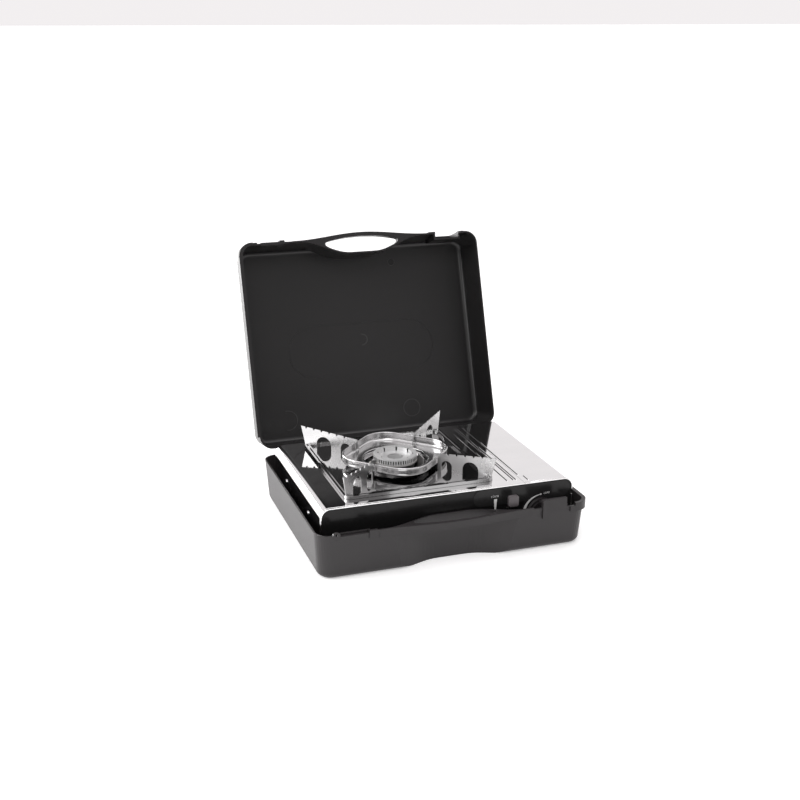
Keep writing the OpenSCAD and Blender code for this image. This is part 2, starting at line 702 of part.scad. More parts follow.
module mixing_tube() color("#b5b6b8") difference() {
    along_y(burner_x, tube_y0, tube_z, tube_y1 - tube_y0, mixing_r);
    along_y(burner_x, tube_y0 - 1, tube_z, tube_y1 - tube_y0 + 2, mixing_r - sheet);
}
module air_shutter() color("#8f9092") difference() {
    along_y(burner_x, tube_y0 - 2, tube_z, 12, mixing_r + run + 1.2);
    along_y(burner_x, tube_y0 - 3, tube_z, 14, mixing_r + run);
    box(burner_x - 4, burner_x + 4, tube_y0 - 3, tube_y0 + 5, tube_z, tube_z + 20);
}
module jet_holder() color("#b08d57") difference() {
    union() {
        box(burner_x - 7, burner_x + 7, jet_y - 6, jet_y + 6, tube_z - 7, tube_z + 7);
        box(burner_x - 6, burner_x + 6, jet_y - 1, jet_y + 1, floor_z, tube_z - 7 + eps);
        box(burner_x - 6, burner_x + 6, jet_y - 1, jet_y + 9, floor_z, floor_z + 2);
    }
    along_y(burner_x, jet_y - 3, tube_z, 10, 2.5 + run);
    along_x(burner_x, jet_y, tube_z, 8, gas_pipe_r + run);
}
module gas_jet() color("#c8a464") difference() {
    union() {
        along_y(burner_x, jet_y + 6 - 5, tube_z, 5 + eps, 2.5);
        translate([burner_x, jet_y + 6, tube_z]) rotate([-90, 0, 0]) cylinder(h = 3, r = 4.5, $fn = 6);
        along_y(burner_x, jet_y + 9 - eps, tube_z, 3, 2);
    }
    along_y(burner_x, jet_y, tube_z, 13, 0.6);
}
module gas_pipe() color("#9fa0a2") difference() {
    along_x(burner_x + pipe_start, pipe_y, tube_z, reg_x0 + 3 - burner_x - pipe_start, gas_pipe_r);
    along_x(burner_x + 1, pipe_y, tube_z, reg_x0 + 5 - burner_x, gas_pipe_r - pipe_wall);
}
module pipe_nuts() color("#b08d57") for (x = [burner_x + 7, reg_x0 - nut_l]) difference() {
    translate([x, pipe_y, tube_z]) rotate([0, 90, 0]) cylinder(h = nut_l, r = nut_r, $fn = 6);
    along_x(x - 1, pipe_y, tube_z, nut_l + 2, gas_pipe_r + run);
}
module electrode() color("#8c8c8e") {
    translate([electrode_at[0], electrode_at[1], ceramic_z - 4]) cylinder(h = tip_z - ceramic_z + 4, r = electrode_r);
    rod([electrode_at[0], electrode_at[1], tip_z - electrode_r],
        [burner_x + (burner_r + 2) * cos(electrode_a), burner_y + (burner_r + 2) * sin(electrode_a), tip_z - electrode_r],
        electrode_r * 0.8);
}
module electrode_ceramic() color("#ece7dc") translate([electrode_at[0], electrode_at[1], 0]) difference() {
    union() {
        translate([0, 0, ceramic_z]) cylinder(h = top_z + 7 - ceramic_z, r = ceramic_r);
        translate([0, 0, ceramic_z + 8]) cylinder(h = 3, r = ceramic_r + 1.5);
    }
    translate([0, 0, ceramic_z - 1]) cylinder(h = 60, r = electrode_r + run);
}
module electrode_bracket() color("#b9b9bb") difference() {
    union() {
        box(electrode_at[0] - 6, burner_x - arm_x, electrode_at[1] - 6, electrode_at[1] + 6,
            ceramic_z + 8 - sheet, ceramic_z + 8);
        box(burner_x - arm_x - sheet, burner_x - arm_x, electrode_at[1] + 1, electrode_at[1] + 6,
            cup_z - 12, ceramic_z + 8 - sheet / 2);
    }
    translate([electrode_at[0], electrode_at[1], ceramic_z]) cylinder(h = 20, r = ceramic_r + run);
}
wire_y = front_y + 45;
wire_z = floor_z + 5;
wire_path = [
    [electrode_at[0], electrode_at[1], ceramic_z - 4], [electrode_at[0], electrode_at[1], wire_z + 12],
    [electrode_at[0], wire_y + 12, wire_z], [electrode_at[0] + 12, wire_y, wire_z],
    [reg_x0 - 2, wire_y, wire_z], [knob_x - 2, front_y + 26, wire_z],
    [knob_x - 2, piezo_y + piezo_d, wire_z]];
function unit(v) = v / norm(v);
function tangent(p, i) = unit((i > 0 ? unit(p[i] - p[i - 1]) : [0, 0, 0])
    + (i < len(p) - 1 ? unit(p[i + 1] - p[i]) : [0, 0, 0]));
module sweep(p, r, n) {
    rings = [for (i = [0:len(p) - 1]) let (t = tangent(p, i), u = unit(cross(t, [1, 2, 3])), v = cross(t, u))
        for (k = [0:n - 1]) p[i] + r * (u * cos(360 * k / n) + v * sin(360 * k / n))];
    last = (len(p) - 1) * n;
    polyhedron(rings, concat([[for (k = [0:n - 1]) n - 1 - k]], [[for (k = [0:n - 1]) last + k]],
        [for (i = [0:len(p) - 2], k = [0:n - 1], half = [0, 1]) half == 0
            ? [i * n + k, i * n + (k + 1) % n, (i + 1) * n + (k + 1) % n]
            : [i * n + k, (i + 1) * n + (k + 1) % n, (i + 1) * n + k]]));
}
module ignition_wire() color("#b33a2b") sweep(wire_path, wire_r, 8);

// ---------- gas control ----------
module regulator_body() color("#a6a7a9") difference() {
    union() {
        box(reg_x0, reg_x0 + reg_w, reg_y0, reg_y1, reg_z0, reg_z0 + reg_h);
        along_y(knob_x, reg_y0 - 3, knob_z, 4, 8);
        box(reg_x0 + reg_w - reg_foot_w, reg_x0 + reg_w, reg_y0 + 4, reg_y0 + 4 + reg_foot_t, floor_z, reg_z0 + eps);
    }
    along_y(knob_x, reg_y0 - 4, knob_z, 10, stem_r + run);
    along_x(reg_x0 - 1, pipe_y, tube_z, 5, gas_pipe_r + run);
    along_y(bay_mid, reg_y1 - 6, cart_z, 7, 2);
}
module regulator_cover() color("#98999b") difference() {
    along_x(reg_x0 + reg_w, (reg_y0 + reg_y1) / 2, reg_z0 + reg_h / 2, cover_t, cover_r);
    cover_screws(reg_x0 + reg_w - 1, cover_t + 2, 1.2 + run);
}
module cover_screws(x, l, r) for (a = [45:90:315])
    along_x(x, (reg_y0 + reg_y1) / 2 + 13.5 * cos(a), reg_z0 + reg_h / 2 + 13.5 * sin(a), l, r);
module regulator_screws() color("silver") {
    cover_screws(reg_x0 + reg_w + eps, cover_t, 1.2);
    cover_screws(reg_x0 + reg_w + cover_t, 1, 2.2);
}
module cartridge_receiver() color("#b08d57") difference() {
    union() {
        along_y(bay_mid, reg_y1, cart_z, receiver_l, receiver_r);
        box(bay_mid - 2, bay_mid + 2, reg_y1, reg_y1 + receiver_l + 3, cart_z + receiver_r - 1, cart_z + receiver_r + 4);
    }
    along_y(bay_mid, reg_y1 - 1, cart_z, receiver_l + 2, seal_r + 1.5);
}
module receiver_seal() color("#2a2a2a") difference() {
    along_y(bay_mid, reg_y1, cart_z, 4, seal_r);
    along_y(bay_mid, reg_y1 - 1, cart_z, 6, nozzle_r);
}
module valve_stem() color("#c8c9cb")
    along_y(knob_x, knob_front + 4, knob_z, reg_y0 + 5 - knob_front - 4, stem_r);
// The cam's radius grows with the knob's angle, so the plunger follows at a constant rate
function cam_radius(d) = cam_r + cam_lift * max(0, min(d, knob_angle)) / knob_angle;
module ignition_cam() color("#e8e6e0") difference() {
    prism_y(cam_y, cam_y + cam_t) translate([knob_x, knob_z])
        polygon(concat([for (d = [-60:5:knob_angle + 20]) cam_radius(d) * [cos(-90 - d), sin(-90 - d)]],
            [for (d = [knob_angle + 25:10:295]) (cam_r - 2) * [cos(-90 - d), sin(-90 - d)]]));
    along_y(knob_x, cam_y - 1, knob_z, cam_t + 2, stem_r + run);
}
module control_knob() color("#1b191a") difference() {
    union() {
        along_y(knob_x, knob_front + 6, knob_z, knob_l - 6, knob_r);
        along_y(knob_x, knob_front + 3, knob_z, 4, knob_r - 3);
        intersection() {
            along_y(knob_x, knob_front, knob_z, 7, knob_r - 1.5);
            box(knob_x - 5, knob_x + 5, knob_front, knob_front + 7, knob_z - knob_r, knob_z + knob_r);
        }
    }
    along_y(knob_x, knob_front + 4, knob_z, knob_l, stem_r + run);
}
module piezo_igniter() color("#2b2b2d") difference() {
    box(knob_x - piezo_w / 2, knob_x + piezo_w / 2, piezo_y, piezo_y + piezo_d, floor_z, floor_z + piezo_h);
    translate([knob_x, cam_y + cam_t / 2, floor_z + piezo_h - 8]) cylinder(h = 9, r = plunger_r + run);
}
module piezo_plunger() color("#d9d7d0")
    translate([knob_x, cam_y + cam_t / 2, floor_z + piezo_h - 8 + cam_lift + 0.5])
        cylinder(h = knob_z - cam_r - gap - (floor_z + piezo_h - 8 + cam_lift + 0.5), r = plunger_r);

// ---------- lock lever ----------
module lock_lever() color("#8b8c8e") difference() {
    translate([0, pivot_y, pivot_z]) {
        along_x(lever_x - hub_w / 2, 0, 0, hub_w, hub_r);
        rotate([-lever_half, 0, 0]) {
            box(lever_x - lever_t / 2, lever_x + lever_t / 2, -lever_reach, 0, -lever_bar / 2, lever_bar / 2);
            box(lever_x - lever_t / 2, lever_x + lever_t / 2, -lever_bar / 2, lever_bar / 2, 0, tail_l + 2.4);
            along_x(lever_x + lever_t / 2 - 1, 0, tail_l, rod_x + rod_w - lever_x - lever_t / 2 + 1, tail_pin_r);
        }
    }
    along_x(lever_x - lever_t, pivot_y, pivot_z, 2 * lever_t, pivot_r + run);
}
cap_mid_z = pivot_z + lever_l * sin(lever_half);
cap_back_y = pivot_y - lever_l + cap_t / 2 + 1;
lever_reach = (pivot_y - cap_back_y - lever_bar / 2 * sin(lever_half) - eps) / cos(lever_half);
module lever_cap() color("#77787a")
    translate([lever_x, 0, cap_mid_z]) prism_y(cap_back_y - cap_t, cap_back_y)
        rounded_rect(lever_cap_w, cap_h2, 2.5);
module lever_bracket() color("#b9b9bb") difference() {
    union() {
        for (x = [-cheek_x, cheek_x - cheek_t])
            box(lever_x + x, lever_x + x + cheek_t, pivot_y - cheek_d / 2, pivot_y + cheek_d / 2, floor_z, pivot_z + 6);
        box(lever_x - cheek_x, lever_x + cheek_x, pivot_y - cheek_d / 2, pivot_y + cheek_d / 2, floor_z, floor_z + cheek_t);
    }
    along_x(lever_x - cheek_x - 1, pivot_y, pivot_z, 2 * cheek_x + 2, pivot_r + run);
}
module lever_pivot_pin() color("silver")
    along_x(lever_x - cheek_x - 0.8, pivot_y, pivot_z, 2 * cheek_x + 1.6, pivot_r);
module lever_spring() color("#9a9a9c") translate([lever_x - lever_t / 2 - 3.9, pivot_y, pivot_z]) {
    for (i = [0:1]) translate([0.8 + 1.25 * i, 0, 0]) rotate([0, 90, 0])
        rotate_extrude() translate([3.6, 0]) circle(0.65);
}
module cartridge_pusher() color("#a6a7a9") difference() {
    union() {
        box(bay_mid - pusher_w / 2, bay_mid + pusher_w / 2, pusher_y, pusher_y + pusher_t, pusher_z0, rod_z + rod_h);
        box(rod_x, bay_mid, pusher_y, pusher_y + pusher_t, rod_z, rod_z + rod_h);
        box(rod_x, rod_x + rod_w, tail_y, pusher_y + pusher_t, rod_z, rod_z + rod_h);
        box(rod_x, rod_x + rod_w, tail_y - 6, tail_y + 6, tail_z - 7, tail_z + 4);
    }
    box(rod_x - 1, rod_x + rod_w + 1, tail_y - tail_pin_r - gap, tail_y + tail_pin_r + gap,
        tail_z - 4.5, tail_z + 2.6);
}
module pusher_guide() color("#3a3a3c") for (y = guide_y) difference() {
    box(rod_x - 2, wall_x, y, y + guide_l, rod_z - 2, rod_z + rod_h + 2);
    box(rod_x - gap, rod_x + rod_w + gap, y - 1, y + guide_l + 1, rod_z - gap, rod_z + rod_h + gap);
}

// ---------- pan support ----------
module support_frame() color("#d0d0d2") translate([burner_x, burner_y, sup_z]) {
    difference() {
        union() {
            linear_extrude(sup_t) rounded_rect(frame_w, frame_d, 8);
            linear_extrude(frame_h - gap) frame_ring(0, 2.2);
            linear_extrude(frame_h - gap) frame_ring(frame_rail - 2.2, frame_rail);
            linear_extrude(frame_h - gap - 1.5) frame_ring(1, frame_rail - 1);
        }
        translate([0, 0, -1]) cylinder(h = sup_t + 2, r = bowl_hole_r);
    }
}
module frame_ring(a, b) difference() {
    rounded_rect(frame_w - 2 * a, frame_d - 2 * a, 9 - a / 2);
    rounded_rect(frame_w - 2 * b, frame_d - 2 * b, 9 - b / 2);
}
module bowl_outline(inset) rotate(45)
    rounded_rect(2 * (bowl_flat - inset), 2 * (bowl_flat - inset), bowl_corner_r - inset);
module windshield_bowl() color("#dededf") translate([burner_x, burner_y, 0]) {
    translate([0, 0, ledge_z]) linear_extrude(bowl_wall_h - 1) difference() {
        bowl_outline(0);
        bowl_outline(bowl_t);
    }
    translate([0, 0, top_z + bowl_rim_h - 2]) linear_extrude(2) difference() {
        bowl_outline(-0.6);
        bowl_outline(bowl_t + 0.4);
    }
    translate([0, 0, ledge_z]) linear_extrude(bowl_t) difference() {
        bowl_outline(bowl_t / 2);
        circle(bowl_hole_r);
    }
    translate([0, 0, fin_z0]) linear_extrude(ledge_z - fin_z0 + bowl_t / 2) difference() {
        circle(bowl_hole_r + bowl_t);
        circle(bowl_hole_r);
    }
}
function fin_top(r) = top_z + fin_h - fin_fall * (fin_reach - r) / (fin_reach - fin_in);
module fin_shape() difference() {
    polygon([
        [fin_in, ledge_z + bowl_t], [fin_in + 3, fin_top(fin_in + 3)], [fin_reach, fin_top(fin_reach)],
        [fin_foot + 1.5, top_z + 13], [fin_foot, top_z + 7], [fin_foot, rail_z], [rail_in, rail_z], [rail_in, fin_z0],
        [bowl_flat + fin_slot, fin_z0], [bowl_flat + fin_slot, ledge_z + bowl_t],
        [bowl_flat - fin_slot - 0.5, ledge_z + bowl_t]]);
    for (w = windows) {
        translate([w[0], fin_z0 - 1]) square([w[1], top_z + window_top - fin_z0 + 1]);
        translate([w[0] + w[1] / 2, top_z + window_top]) circle(w[1] / 2 - eps);
    }
    for (i = [0:floor((fin_reach - fin_in - 14) / notch_pitch) - 1]) let (x = fin_reach - 6 - notch_pitch * i)
        translate([x, fin_top(x)]) polygon([[0, 1], [-1.2, -notch_deep], [-notch_w / 2, -notch_deep - 0.4],
            [-notch_w, 1]]);
    translate([bowl_flat - fin_slot, 0]) square([2 * fin_slot, top_z + bowl_rim_h + gap]);
}
module pan_fin(a) color("#cfcfd1") translate([burner_x, burner_y, 0]) rotate(a)
    translate([0, fin_t / 2, 0]) rotate([90, 0, 0]) linear_extrude(fin_t) fin_shape();
module pan_fin_front_left() pan_fin(225);
module pan_fin_front_right() pan_fin(315);
module pan_fin_rear_left() pan_fin(135);
module pan_fin_rear_right() pan_fin(45);

case_base();
case_lid();
case_hinge_pins();
top_shell();
right_side_panel();
front_panel();
back_panel();
bottom_pan();
control_bezel();
rubber_feet();
side_screws();
bottom_screws();
partition_wall();
cartridge_cradle();
heat_plate();
cartridge_lid();
cartridge_lid_pin();
lid_magnet();
burner_cup();
burner_bracket();
burner_head();
burner_cap();
mixing_tube();
air_shutter();
jet_holder();
gas_jet();
gas_pipe();
pipe_nuts();
electrode();
electrode_ceramic();
electrode_bracket();
ignition_wire();
regulator_body();
regulator_cover();
regulator_screws();
cartridge_receiver();
receiver_seal();
valve_stem();
ignition_cam();
control_knob();
piezo_igniter();
piezo_plunger();
lever_bracket();
lever_pivot_pin();
lever_spring();
lock_lever();
lever_cap();
cartridge_pusher();
pusher_guide();
support_frame();
windshield_bowl();
pan_fin_front_left();
pan_fin_front_right();
pan_fin_rear_left();
pan_fin_rear_right();
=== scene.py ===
import bpy
import bmesh
from math import radians, sin, cos, sqrt
from mathutils import Vector, Matrix


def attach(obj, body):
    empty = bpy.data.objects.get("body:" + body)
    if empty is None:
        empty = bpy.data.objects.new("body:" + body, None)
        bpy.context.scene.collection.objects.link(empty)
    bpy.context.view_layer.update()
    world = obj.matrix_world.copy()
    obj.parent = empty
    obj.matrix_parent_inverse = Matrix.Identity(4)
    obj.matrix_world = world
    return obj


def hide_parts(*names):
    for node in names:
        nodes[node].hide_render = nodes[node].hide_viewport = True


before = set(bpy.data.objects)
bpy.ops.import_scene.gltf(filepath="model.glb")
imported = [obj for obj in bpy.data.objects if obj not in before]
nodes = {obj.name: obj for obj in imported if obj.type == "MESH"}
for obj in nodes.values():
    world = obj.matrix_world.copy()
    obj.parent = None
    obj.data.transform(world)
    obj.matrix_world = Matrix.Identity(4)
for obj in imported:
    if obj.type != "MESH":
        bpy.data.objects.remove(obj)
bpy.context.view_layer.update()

mm = 0.001
print("stove and case loaded")


# shader maths: a socket that takes part in Python expressions
class Wire:
    def __init__(self, shader, socket):
        self.shader, self.socket = shader, socket

    def maths(self, operation, first, second, third=0.0):
        return self.shader.add("ShaderNodeMath", {"operation": operation}, {0: first, 1: second, 2: third})

    def __add__(self, other): return self.maths("ADD", self, other)
    def __radd__(self, other): return self.maths("ADD", other, self)
    def __sub__(self, other): return self.maths("SUBTRACT", self, other)
    def __rsub__(self, other): return self.maths("SUBTRACT", other, self)
    def __mul__(self, other): return self.maths("MULTIPLY", self, other)
    def __pow__(self, other): return self.maths("POWER", self, other)
    def near(self, value, width): return self.maths("COMPARE", self, value, width)
    def above(self, value): return self.maths("GREATER_THAN", self, value)
    def below(self, value): return 1.0 - self.above(value)
    def clamp(self): return self.shader.add("ShaderNodeClamp", {}, {0: self})


class Finish:
    def __init__(self, name):
        self.material = bpy.data.materials.new(name)
        self.material.use_nodes = True
        self.tree = self.material.node_tree
        self.tree.nodes.clear()
        self.out = self.tree.nodes.new("ShaderNodeOutputMaterial")
        self.body = self.tree.nodes.new("ShaderNodeBsdfPrincipled")
        self.tree.links.new(self.body.outputs[0], self.out.inputs[0])
        self.place = self.add("ShaderNodeTexCoord", {}, {}, "Object")

    def add(self, kind, settings, values, output=0):
        node = self.tree.nodes.new(kind)
        for key, value in settings.items():
            setattr(node, key, value)
        for key, value in values.items():
            if isinstance(value, Wire):
                self.tree.links.new(value.socket, node.inputs[key])
            else:
                node.inputs[key].default_value = value
        return Wire(self, node.outputs[output])

    def noise(self, scale, detail=3.0, roughness=0.5, stretch=None):
        place = self.place
        if stretch:
            place = self.add("ShaderNodeMapping", {}, {"Vector": place, "Scale": stretch})
        values = {"Vector": place, "Scale": scale, "Detail": detail, "Roughness": roughness}
        return self.add("ShaderNodeTexNoise", {}, values)

    def part(self, axis):
        return self.add("ShaderNodeSeparateXYZ", {}, {0: self.place}, axis)

    def awayFrom(self, x, y):
        return ((self.part(0) - x) ** 2 + (self.part(1) - y) ** 2) ** 0.5

    # a Mix node takes its factor and two colours at 0, 6 and 7, and gives the colour at 2
    def blend(self, amount, first, second):
        return self.add("ShaderNodeMix", {"data_type": "RGBA"}, {0: amount, 6: first, 7: second}, 2)

    def bump(self, height, strength, distance, under=None):
        values = {"Height": height, "Strength": strength, "Distance": distance}
        if under:
            values["Normal"] = under
        return self.add("ShaderNodeBump", {}, values)

    def set(self, **values):
        for name, value in values.items():
            socket = self.body.inputs[name.replace("_", " ")]
            if isinstance(value, Wire):
                self.tree.links.new(value.socket, socket)
            else:
                socket.default_value = value
        return self.material


def grey(value, warm=0.0):
    return (value * (1 + warm), value, value * (1 + warm * 0.4), 1.0)


def shadeOf(colour, factor):
    return tuple(min(part * factor, 1.0) for part in colour) + (1.0,)


# finishes: one function for each kind of surface; 0.5 is the middle of a noise
def mouldedPlastic(name, tone, rough, grain, sheen=0.5):
    values = {"dark": 0.86, "light": 1.16, "warmDark": 0.12, "warmLight": 0.14, "fineRough": 0.14, "broadRough": 0.08}
    f = Finish(name)
    fine, broad = f.noise(scale=1400, detail=4.0, roughness=0.6), f.noise(scale=9, detail=2.0)
    colour = f.blend(broad, grey(tone * values["dark"], values["warmDark"]),
                     grey(tone * values["light"], values["warmLight"]))
    roughness = rough + (fine - 0.5) * values["fineRough"] + (broad - 0.5) * values["broadRough"]
    return f.set(Base_Color=colour, Roughness=roughness, Specular_IOR_Level=sheen,
                 Normal=f.bump(fine, strength=grain, distance=0.0002))


# the case lid, whose inner floor bears the round marks of its mould: they are placed as on the closed lid
def lidPlastic(name):
    values = {"tone": 0.010, "dark": 0.85, "light": 1.2, "warmDark": 0.07, "warmLight": 0.08, "rough": 0.33,
              "fineRough": 0.12, "broadRough": 0.03, "lineTone": 0.05, "lineShare": 0.7, "pinTone": 0.003,
              "hinge": (0.1608, 0.063), "open": 108.6, "line": 0.0007, "floor": 0.105, "outside": 0.1248}
    pin = (0.0634, -0.1199, 0.0052, None)
    # x, y, radius, and the x from where the ring shows, or none if all of it does
    rings = [(-0.131, 0.116, 0.0150, -0.134), (0.0735, 0.116, 0.0137, None), (0.002, 0.0, 0.0085, 0.001), pin]
    f = Finish(name)
    fine, broad = f.noise(scale=1500, detail=4.0, roughness=0.6), f.noise(scale=7, detail=2.0)
    c, s = cos(radians(values["open"])), sin(radians(values["open"]))
    hingeY, hingeZ = values["hinge"]
    x, back, high = f.part(0), f.part(1) - hingeY, f.part(2) - hingeZ
    y, z = back * c - high * s + hingeY, back * s + high * c + hingeZ
    inside = z.above(values["floor"]) * z.below(values["outside"])
    lines = 0.0
    for ringX, ringY, radius, shownFrom in rings:
        away = ((x - ringX) ** 2 + (y - ringY) ** 2) ** 0.5
        shown = 1.0 if shownFrom is None else x.above(shownFrom)
        lines = away.near(radius, values["line"]) * shown + lines
    pinX, pinY, pinRadius, _ = pin
    spot = (((x - pinX) ** 2 + (y - pinY) ** 2) ** 0.5).below(pinRadius) * inside
    ground = f.blend(broad, grey(values["tone"] * values["dark"], values["warmDark"]),
                     grey(values["tone"] * values["light"], values["warmLight"]))
    marked = f.blend((lines * inside * values["lineShare"]).clamp(), ground, grey(values["lineTone"]))
    roughness = values["rough"] + (fine - 0.5) * values["fineRough"] + (broad - 0.5) * values["broadRough"]
    ringBump = f.bump(lines * inside, strength=1.0, distance=0.0009)
    return f.set(Base_Color=f.blend(spot, marked, grey(values["pinTone"])), Roughness=roughness,
                 Normal=f.bump(fine, strength=0.16, distance=0.0002, under=ringBump))


def polishedSteel(name, tone, rough, wave):
    values = {"dark": 0.95, "light": 1.05, "warm": 0.008, "smearRough": 0.9, "speckRough": 0.02}
    f = Finish(name)
    smear = f.noise(scale=14, detail=3.0, roughness=0.55, stretch=(1.0, 2.2, 1.0))
    sheetWave, speck = f.noise(scale=16, detail=1.0), f.noise(scale=420, detail=2.0)
    colour = f.blend(smear, grey(tone * values["dark"]), grey(min(tone * values["light"], 1.0), values["warm"]))
    roughness = rough + smear * rough * values["smearRough"] + (speck - 0.5) * values["speckRough"]
    return f.set(Base_Color=colour, Metallic=1.0, Roughness=roughness,
                 Normal=f.bump(sheetWave, strength=wave, distance=0.0012))


def zincSheet(name, tone):
    values = {"cells": 90.0, "dark": 0.8, "light": 1.1, "rough": 0.34, "cellRough": 0.16}
    f = Finish(name)
    cells = f.add("ShaderNodeTexVoronoi", {"feature": "F1"}, {"Vector": f.place, "Scale": values["cells"]}, "Color")
    shade = f.add("ShaderNodeSeparateColor", {}, {0: cells})
    colour = f.blend(shade, grey(tone * values["dark"]), grey(tone * values["light"]))
    return f.set(Base_Color=colour, Metallic=1.0, Roughness=values["rough"] + shade * values["cellRough"],
                 Normal=f.bump(f.noise(scale=300), strength=0.1, distance=0.0003))


def castMetal(name, colour, rough, grainScale=700, metal=1.0):
    values = {"dark": 0.72, "light": 1.12, "patchRough": 0.2}
    f = Finish(name)
    grain, patch = f.noise(scale=grainScale, detail=4.0, roughness=0.65), f.noise(scale=40)
    mottled = f.blend(patch, shadeOf(colour, values["dark"]), shadeOf(colour, values["light"]))
    return f.set(Base_Color=mottled, Metallic=metal, Roughness=rough + (patch - 0.5) * values["patchRough"],
                 Normal=f.bump(grain, strength=0.25, distance=0.0003))


# the burner cap: bare metal, with painted shade darkening its ports, its slots and the hollow of its well
def burnerAlloy(name):
    values = {"axis": (-0.03375, 0.0008), "rim": 0.0306, "foot": 0.1018, "well": 0.02326, "slot": 0.0256,
              "top": 0.1037, "hollow": 0.011, "low": 0.0983, "skin": 0.0002, "hollowShadeShare": 0.4, "dark": 0.62,
              "light": 0.78, "paintedShadeTone": 0.012, "metal": 0.55, "rough": 0.36, "patchRough": 0.2}
    f = Finish(name)
    grain, patch = f.noise(scale=700, detail=4.0, roughness=0.65), f.noise(scale=60)
    out, z, skin = f.awayFrom(*values["axis"]), f.part(2), values["skin"]
    ports = out.below(values["rim"] - skin) * out.above(values["slot"] + 2 * skin) * z.below(values["foot"])
    slots = out.above(values["well"] + skin) * out.below(values["slot"]) * z.below(values["top"])
    hollow = out.below(values["hollow"] + skin) * z.below(values["low"])
    # painted shade: the colour goes dark in the recessed ports and slots, and partly dark in the well's hollow, where
    # shade falls
    paintedShade = (ports + slots + hollow * values["hollowShadeShare"]).clamp()
    bare = f.blend(patch, grey(values["dark"]), grey(values["light"]))
    return f.set(Base_Color=f.blend(paintedShade, bare, grey(values["paintedShadeTone"])), Metallic=values["metal"],
                 Roughness=values["rough"] + (patch - 0.5) * values["patchRough"],
                 Normal=f.bump(grain, strength=0.2, distance=0.0002))


def glossBlack(name, tone):
    values = {"dark": 0.8, "light": 1.3, "warm": 0.03, "sheen": 0.22, "rough": 0.16, "dustRough": 0.08}
    f = Finish(name)
    dust, ripple = f.noise(scale=260, detail=3.0, roughness=0.6), f.noise(scale=22, detail=1.0)
    colour = f.blend(dust, grey(tone * values["dark"]), grey(tone * values["light"], values["warm"]))
    return f.set(Base_Color=colour, Specular_IOR_Level=values["sheen"],
                 Roughness=values["rough"] + dust * values["dustRough"],
                 Normal=f.bump(ripple, strength=0.06, distance=0.0008))


def paint(name, colour, rough):
    values = {"dark": 0.88, "light": 1.06, "grainRough": 0.15}
    f = Finish(name)
    grain = f.noise(scale=900)
    return f.set(Base_Color=f.blend(grain, shadeOf(colour, values["dark"]), shadeOf(colour, values["light"])),
                 Roughness=rough + (grain - 0.5) * values["grainRough"],
                 Normal=f.bump(grain, strength=0.08, distance=0.0001))


finishes = {
    "basePlastic": mouldedPlastic("base plastic", tone=0.017, rough=0.40, grain=0.32, sheen=0.42),
    "lidPlastic": lidPlastic("lid plastic"),
    "mirrorSteel": polishedSteel("mirror steel", tone=0.86, rough=0.035, wave=0.12),
    "supportSteel": polishedSteel("support steel", tone=0.55, rough=0.19, wave=0.08),
    "frameSteel": polishedSteel("frame steel", tone=0.47, rough=0.045, wave=0.15),
    "shieldSteel": polishedSteel("shield steel", tone=0.62, rough=0.13, wave=0.12),
    "zinc": zincSheet("zinc sheet", tone=0.62),
    "alloy": castMetal("burner alloy", (0.62, 0.61, 0.60), rough=0.40, metal=0.45),
    "burnerAlloy": burnerAlloy("cap alloy"),
    "darkAlloy": castMetal("regulator alloy", (0.42, 0.42, 0.42), rough=0.42),
    "brass": castMetal("turned brass", (0.74, 0.55, 0.26), rough=0.28, grainScale=1200),
    "bright": castMetal("bright fixings", (0.70, 0.70, 0.70), rough=0.22, grainScale=1500),
    "panelBlack": glossBlack("panel black", tone=0.010),
    "bezelBlack": glossBlack("bezel black", tone=0.016),
    "knobBlack": mouldedPlastic("knob black", tone=0.016, rough=0.30, grain=0.12),
    "leverGrey": mouldedPlastic("lever grey", tone=0.075, rough=0.34, grain=0.10),
    "rubber": paint("foot rubber", (0.025, 0.024, 0.024), rough=0.8),
    "ceramic": paint("electrode ceramic", (0.78, 0.76, 0.70), rough=0.35),
    "darkPlastic": mouldedPlastic("inner plastic", tone=0.035, rough=0.5, grain=0.2),
    "wireRed": paint("wire insulation", (0.35, 0.04, 0.03), rough=0.45),
    "printWhite": paint("panel print", (0.80, 0.80, 0.79), rough=0.5),
}
wears = {
    "basePlastic": ["case_base"],
    "lidPlastic": ["case_lid"],
    "mirrorSteel": ["top_shell", "cartridge_lid"],
    "frameSteel": ["support_frame"],
    "supportSteel": ["pan_fin_front_left", "pan_fin_front_right", "pan_fin_rear_left", "pan_fin_rear_right"],
    "shieldSteel": ["windshield_bowl"],
    "zinc": ["right_side_panel", "back_panel", "bottom_pan", "partition_wall", "cartridge_cradle", "burner_bracket",
             "electrode_bracket", "lever_bracket", "lock_lever", "cartridge_pusher"],
    "alloy": ["burner_head", "heat_plate"],
    "burnerAlloy": ["burner_cap"],
    "darkAlloy": ["burner_cup", "mixing_tube", "air_shutter", "regulator_body", "regulator_cover"],
    "brass": ["jet_holder", "gas_jet", "pipe_nuts", "cartridge_receiver"],
    "bright": ["case_hinge_pins", "side_screws", "bottom_screws", "cartridge_lid_pin", "regulator_screws",
               "valve_stem", "lever_pivot_pin", "lever_spring", "electrode", "gas_pipe"],
    "panelBlack": ["front_panel"],
    "bezelBlack": ["control_bezel"],
    "knobBlack": ["control_knob"],
    "leverGrey": ["lever_cap"],
    "rubber": ["rubber_feet", "receiver_seal"],
    "ceramic": ["electrode_ceramic", "ignition_cam", "piezo_plunger"],
    "darkPlastic": ["piezo_igniter", "pusher_guide", "lid_magnet"],
    "wireRed": ["ignition_wire"],
}
for finishName, wearers in wears.items():
    for nodeName in wearers:
        nodes[nodeName].data.materials.clear()
        nodes[nodeName].data.materials.append(finishes[finishName])
print("finishes done:", len(finishes))


